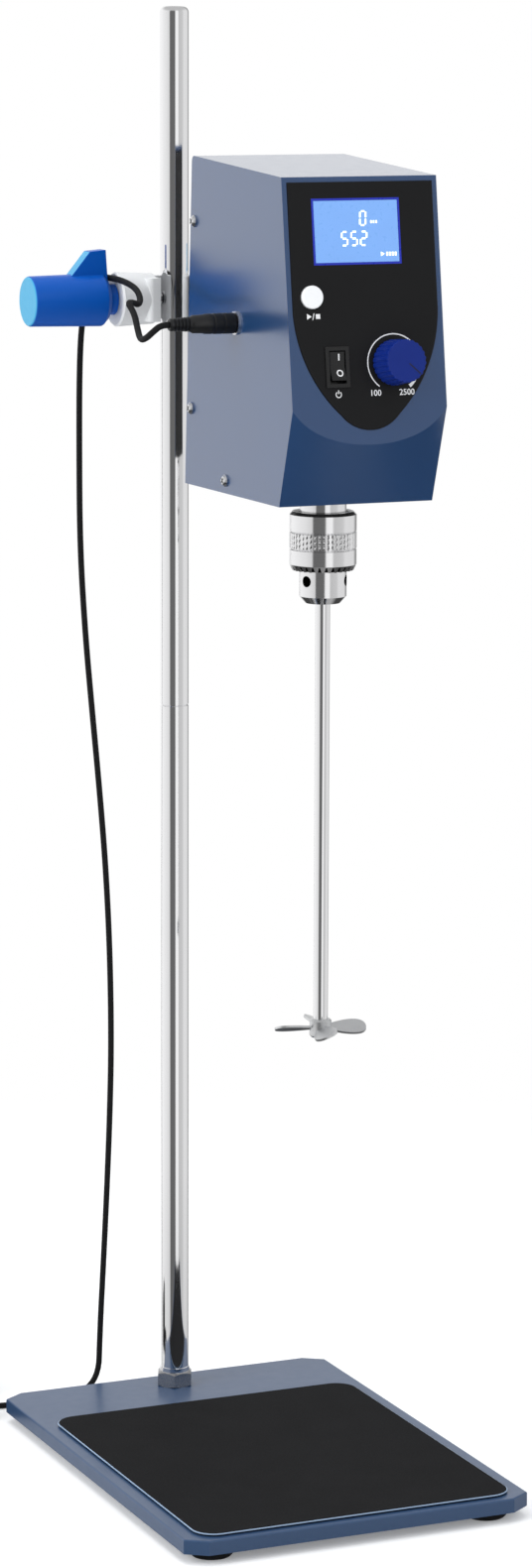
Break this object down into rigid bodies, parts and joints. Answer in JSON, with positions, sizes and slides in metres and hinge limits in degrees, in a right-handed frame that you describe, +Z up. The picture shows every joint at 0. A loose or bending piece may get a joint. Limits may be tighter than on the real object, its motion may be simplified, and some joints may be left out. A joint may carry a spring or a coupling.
{
  "type": "overhead stirrer",
  "caption": "Overhead laboratory stirrer: motor head with display, dial and keyed chuck, held by a boss-head clamp on the rod of a flat plate stand, with a propeller stirring shaft and supply lead.",
  "frame": {"origin": "middle of the base plate's outline, on the surface that the rubber feet stand on", "axes": "+Z up along the stand rod, +Y to the back where the rod stands, +X to the right as seen from the front"},
  "size_m": [0.268, 0.3581, 0.8],
  "materials": {
    "blue_paint": "satin",
    "steel_polished": "polished",
    "steel_satin": "satin",
    "steel_dark": "satin",
    "cast_light": "satin",
    "alu": "satin",
    "zinc": "zinc plated",
    "brass": "plain",
    "mat_rubber": "matt",
    "foot_rubber": "matt",
    "knob_blue": "satin",
    "dial_blue": "satin",
    "panel_black": "satin",
    "window": "clear",
    "lcd_blue": "backlit",
    "button_white": "gloss",
    "switch_black": "satin",
    "board_green": "solder mask",
    "black_plastic": "satin",
    "cord_black": "satin"
  },
  "bodies": {
    "stand": {"base_plate": "blue_paint", "base_mat": "mat_rubber", "rubber_feet": "foot_rubber", "foot_screws": "zinc", "stand_rod_lower": "steel_polished", "stand_rod_upper": "steel_polished", "rod_joint_stud": "zinc", "rod_hex_nut": "steel_satin", "rod_washer": "steel_satin", "power_cord_drop": "cord_black", "cord_coil": "cord_black", "cord_tie": "black_plastic", "power_adapter": "black_plastic", "adapter_pins": "brass"},
    "clamp": {"clamp_body": "cast_light"},
    "rod_screw": {"rod_clamp_screw": "steel_satin"},
    "rod_knob": {"rod_clamp_knob": "knob_blue"},
    "bar_screw": {"bar_clamp_screw": "steel_satin"},
    "bar_knob": {"bar_clamp_knob": "knob_blue"},
    "head": {"head_cover": "blue_paint", "head_chassis": "alu", "side_screws": "steel_satin", "control_panel": "panel_black", "display_window": "window", "display_module": "lcd_blue", "switch_housing": "switch_black", "speed_encoder": "steel_satin", "control_board": "board_green", "dc_jack": "steel_satin", "mounting_bar": "steel_satin", "bar_lock_nut": "zinc", "bearing_housing": "alu", "lower_bearing": "steel_satin", "upper_bearing": "steel_satin", "motor_mount_posts": "steel_satin", "motor_mount_plate": "alu", "motor_can": "steel_dark", "dc_plug": "black_plastic", "power_cord_lead": "cord_black"},
    "spindle": {"spindle": "steel_satin", "shaft_coupler": "alu", "motor_shaft": "steel_satin", "chuck_body": "steel_dark"},
    "sleeve": {"chuck_sleeve": "steel_dark", "chuck_nut": "steel_dark"},
    "jaw_1": {"chuck_jaw_1": "steel_dark"},
    "jaw_2": {"chuck_jaw_2": "steel_dark"},
    "jaw_3": {"chuck_jaw_3": "steel_dark"},
    "stirrer": {"stirrer_shaft": "steel_satin", "stirrer_propeller": "steel_satin"},
    "run_stop": {"run_stop_button": "button_white"},
    "rocker": {"switch_rocker": "switch_black"},
    "dial": {"speed_knob": "dial_blue"}
  },
  "joints": [
    {"name": "head_height", "type": "slide", "parent": "stand", "child": "clamp", "axis": [0, 0, 1], "range_m": [-0.15, 0.13], "deforming": ["power_cord_drop"]},
    {"name": "rod_screw_feed", "type": "slide", "parent": "clamp", "child": "rod_screw", "axis": [-1, 0, 0], "range_m": [0, 0.0025]},
    {"name": "rod_knob_turn", "type": "hinge", "parent": "rod_screw", "child": "rod_knob", "pos_m": [-0.0415, 0.122, 0.64], "axis": [-1, 0, 0], "range_deg": [0, 720]},
    {"name": "bar_screw_feed", "type": "slide", "parent": "clamp", "child": "bar_screw", "axis": [1, 0, 0], "range_m": [0, 0.0025]},
    {"name": "bar_knob_turn", "type": "hinge", "parent": "bar_screw", "child": "bar_knob", "pos_m": [0.052, 0.122, 0.64], "axis": [1, 0, 0], "range_deg": [0, 720]},
    {"name": "head_reach", "type": "slide", "parent": "clamp", "child": "head", "axis": [0, 1, 0], "range_m": [-0.012, 0.04], "deforming": ["power_cord_lead"]},
    {"name": "spindle_spin", "type": "hinge", "parent": "head", "child": "spindle", "pos_m": [0.022, -0.0316, 0.53], "axis": [0, 0, 1], "continuous": true},
    {"name": "chuck_turn", "type": "hinge", "parent": "spindle", "child": "sleeve", "pos_m": [0.022, -0.0316, 0.52], "axis": [0, 0, 1], "range_deg": [0, 970]},
    {"name": "jaw_1_slide", "type": "slide", "parent": "spindle", "child": "jaw_1", "axis": [0.2393, 0.0986, 0.9659], "range_m": [0, 0.0038]},
    {"name": "jaw_2_slide", "type": "slide", "parent": "spindle", "child": "jaw_2", "axis": [-0.2051, 0.1579, 0.9659], "range_m": [0, 0.0038]},
    {"name": "jaw_3_slide", "type": "slide", "parent": "spindle", "child": "jaw_3", "axis": [-0.0342, -0.2565, 0.9659], "range_m": [0, 0.0038]},
    {"name": "stirrer_slide", "type": "slide", "parent": "spindle", "child": "stirrer", "axis": [0, 0, 1], "range_m": [-0.05, 0]},
    {"name": "run_stop_press", "type": "slide", "parent": "head", "child": "run_stop", "axis": [0, 0.9913, -0.1316], "range_m": [0, 0.0008], "stiffness_N_per_m": 600},
    {"name": "rocker_tilt", "type": "hinge", "parent": "head", "child": "rocker", "pos_m": [0.0042, -0.08592, 0.6172], "axis": [1, 0, 0], "range_deg": [0, 15]},
    {"name": "dial_turn", "type": "hinge", "parent": "head", "child": "dial", "pos_m": [0.0364, -0.09226, 0.61955], "axis": [0, -0.9913, 0.1316], "range_deg": [0, 290]}
  ],
  "couplings": [
    {"joint": "rod_knob_turn", "follows": "rod_screw_feed", "rad_per_m": 5026.5},
    {"joint": "bar_knob_turn", "follows": "bar_screw_feed", "rad_per_m": 5026.5},
    {"joint": "jaw_1_slide", "follows": "chuck_turn", "m_per_rad": 0.00022282},
    {"joint": "jaw_2_slide", "follows": "chuck_turn", "m_per_rad": 0.00022282},
    {"joint": "jaw_3_slide", "follows": "chuck_turn", "m_per_rad": 0.00022282}
  ]
}
